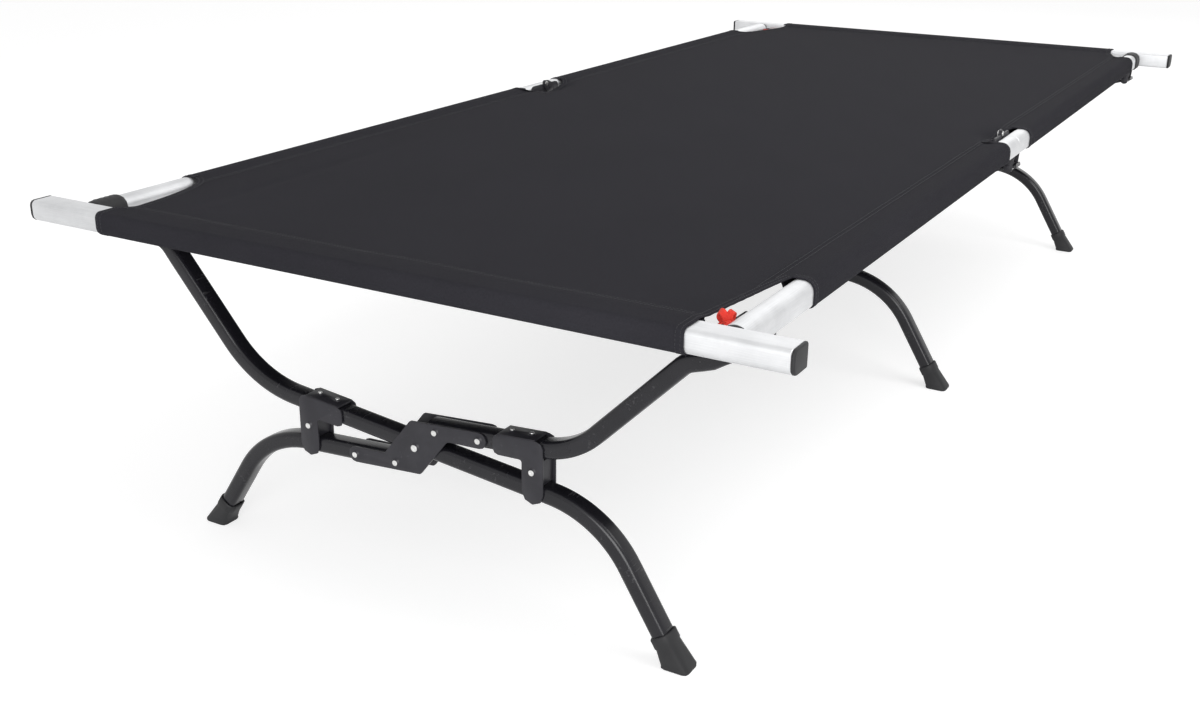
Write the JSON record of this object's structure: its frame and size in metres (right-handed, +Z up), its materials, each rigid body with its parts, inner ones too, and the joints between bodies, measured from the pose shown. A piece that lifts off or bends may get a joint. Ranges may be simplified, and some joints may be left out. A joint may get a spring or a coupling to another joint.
{
  "type": "camping cot",
  "caption": "Folding camp bed: canvas on hinged aluminium side rails and end bars, carried by bent scissor leg sets.",
  "frame": {"origin": "on the floor under the middle of the bed", "axes": "+X across the bed to the right seen from the foot end, +Y along the bed from foot to head, +Z up"},
  "size_m": [1.038, 2.1626, 0.4659],
  "materials": {
    "satin_aluminium": "satin, drawn along the tube",
    "black_powder_coat": "semi-gloss powder coat",
    "grey_black_plate": "satin powder coat",
    "black_moulding": "moulded, dull",
    "black_canvas": "close woven, coated",
    "red_webbing": "woven webbing",
    "zinc_plated_steel": "zinc plated"
  },
  "bodies": {
    "left_rear": {"rail_rear_left": "satin_aluminium", "hinge_rear_left": "grey_black_plate", "hinge_pin_left": "zinc_plated_steel", "rail_plug_head_left": "black_moulding", "hanger_left_middle": "grey_black_plate", "hanger_left_head_end": "grey_black_plate", "canvas_rear": "black_canvas"},
    "left_front": {"rail_front_left": "satin_aluminium", "hinge_front_left": "grey_black_plate", "corner_fitting_foot_left": "black_moulding", "hanger_left_foot_end": "grey_black_plate", "canvas_front": "black_canvas"},
    "right_rear": {"rail_rear_right": "satin_aluminium", "hinge_rear_right": "grey_black_plate", "hinge_pin_right": "zinc_plated_steel", "corner_fitting_head_right": "black_moulding", "hanger_right_middle": "grey_black_plate", "hanger_right_head_end": "grey_black_plate"},
    "right_front": {"rail_front_right": "satin_aluminium", "hinge_front_right": "grey_black_plate", "rail_plug_foot_right": "black_moulding", "hanger_right_foot_end": "grey_black_plate"},
    "foot_bar": {"foot_bar": "satin_aluminium", "foot_bar_cap_left": "black_moulding", "foot_bar_cap_right": "black_moulding"},
    "head_bar": {"head_bar": "satin_aluminium", "head_bar_cap_left": "black_moulding", "head_bar_cap_right": "black_moulding"},
    "foot_arm": {"pivot_arm_foot": "black_powder_coat", "pull_strap_foot": "red_webbing"},
    "head_arm": {"pivot_arm_head": "black_powder_coat", "pull_strap_head": "red_webbing"},
    "s_leg_foot_end": {"s_leg_foot_end": "black_powder_coat", "saddle_left_foot_end": "grey_black_plate", "shoe_right_foot_end": "black_moulding"},
    "half_legs_foot_end": {"upper_leg_foot_end": "black_powder_coat", "lower_leg_foot_end": "black_powder_coat", "hub_plate_front_foot_end": "grey_black_plate", "hub_plate_rear_foot_end": "grey_black_plate", "saddle_right_foot_end": "grey_black_plate", "shoe_left_foot_end": "black_moulding"},
    "s_leg_middle": {"s_leg_middle": "black_powder_coat", "saddle_left_middle": "grey_black_plate", "shoe_right_middle": "black_moulding"},
    "half_legs_middle": {"upper_leg_middle": "black_powder_coat", "lower_leg_middle": "black_powder_coat", "hub_plate_front_middle": "grey_black_plate", "hub_plate_rear_middle": "grey_black_plate", "saddle_right_middle": "grey_black_plate", "shoe_left_middle": "black_moulding"},
    "s_leg_head_end": {"s_leg_head_end": "black_powder_coat", "saddle_left_head_end": "grey_black_plate", "shoe_right_head_end": "black_moulding"},
    "half_legs_head_end": {"upper_leg_head_end": "black_powder_coat", "lower_leg_head_end": "black_powder_coat", "hub_plate_front_head_end": "grey_black_plate", "hub_plate_rear_head_end": "grey_black_plate", "saddle_right_head_end": "grey_black_plate", "shoe_left_head_end": "black_moulding"}
  },
  "joints": [
    {"name": "legs_fold", "type": "hinge", "parent": "left_rear", "child": "s_leg_middle", "pos_m": [-0.438, 0.034, 0.403], "axis": [0, 1, 0], "range_deg": [0, 45], "deforming": ["canvas_front", "canvas_rear"]},
    {"name": "hub_middle", "type": "hinge", "parent": "s_leg_middle", "child": "half_legs_middle", "pos_m": [0, 0.034, 0.199], "axis": [0, 1, 0], "range_deg": [-90, 0]},
    {"name": "right_rails_level", "type": "hinge", "parent": "half_legs_middle", "child": "right_rear", "pos_m": [0.438, 0.034, 0.403], "axis": [0, 1, 0], "range_deg": [0, 45]},
    {"name": "s_leg_head_end", "type": "hinge", "parent": "left_rear", "child": "s_leg_head_end", "pos_m": [-0.438, 1.026, 0.403], "axis": [0, 1, 0], "range_deg": [0, 45]},
    {"name": "hub_head_end", "type": "hinge", "parent": "s_leg_head_end", "child": "half_legs_head_end", "pos_m": [0, 1.026, 0.199], "axis": [0, 1, 0], "range_deg": [-90, 0]},
    {"name": "s_leg_foot_end", "type": "hinge", "parent": "left_front", "child": "s_leg_foot_end", "pos_m": [-0.438, -0.965, 0.403], "axis": [0, 1, 0], "range_deg": [0, 45]},
    {"name": "hub_foot_end", "type": "hinge", "parent": "s_leg_foot_end", "child": "half_legs_foot_end", "pos_m": [0, -0.965, 0.199], "axis": [0, 1, 0], "range_deg": [-90, 0]},
    {"name": "frame_fold", "type": "hinge", "parent": "left_rear", "child": "left_front", "pos_m": [-0.442, 0, 0.4602], "axis": [-1, 0, 0], "range_deg": [0, 180]},
    {"name": "frame_fold_right", "type": "hinge", "parent": "right_rear", "child": "right_front", "pos_m": [0.442, 0, 0.4602], "axis": [-1, 0, 0], "range_deg": [0, 180]},
    {"name": "foot_arm_swing", "type": "hinge", "parent": "right_front", "child": "foot_arm", "pos_m": [0.4275, -0.9717, 0.4405], "axis": [-1, 0, 0], "range_deg": [0, 90]},
    {"name": "head_arm_swing", "type": "hinge", "parent": "left_rear", "child": "head_arm", "pos_m": [-0.4275, 0.9717, 0.4405], "axis": [1, 0, 0], "range_deg": [0, 90]},
    {"name": "foot_bar_slide", "type": "slide", "parent": "left_front", "child": "foot_bar", "axis": [0, -1, 0], "range_m": [0, 0.022]},
    {"name": "head_bar_slide", "type": "slide", "parent": "right_rear", "child": "head_bar", "axis": [0, 1, 0], "range_m": [0, 0.022]}
  ],
  "couplings": [
    {"joint": "hub_middle", "follows": "legs_fold", "ratio": -2},
    {"joint": "right_rails_level", "follows": "legs_fold", "ratio": 1},
    {"joint": "s_leg_head_end", "follows": "legs_fold", "ratio": 1},
    {"joint": "hub_head_end", "follows": "legs_fold", "ratio": -2},
    {"joint": "s_leg_foot_end", "follows": "legs_fold", "ratio": 1},
    {"joint": "hub_foot_end", "follows": "legs_fold", "ratio": -2},
    {"joint": "frame_fold_right", "follows": "frame_fold", "ratio": 1},
    {"joint": "foot_arm_swing", "follows": "foot_bar_slide", "rad_per_m": 71},
    {"joint": "head_arm_swing", "follows": "head_bar_slide", "rad_per_m": 71}
  ]
}
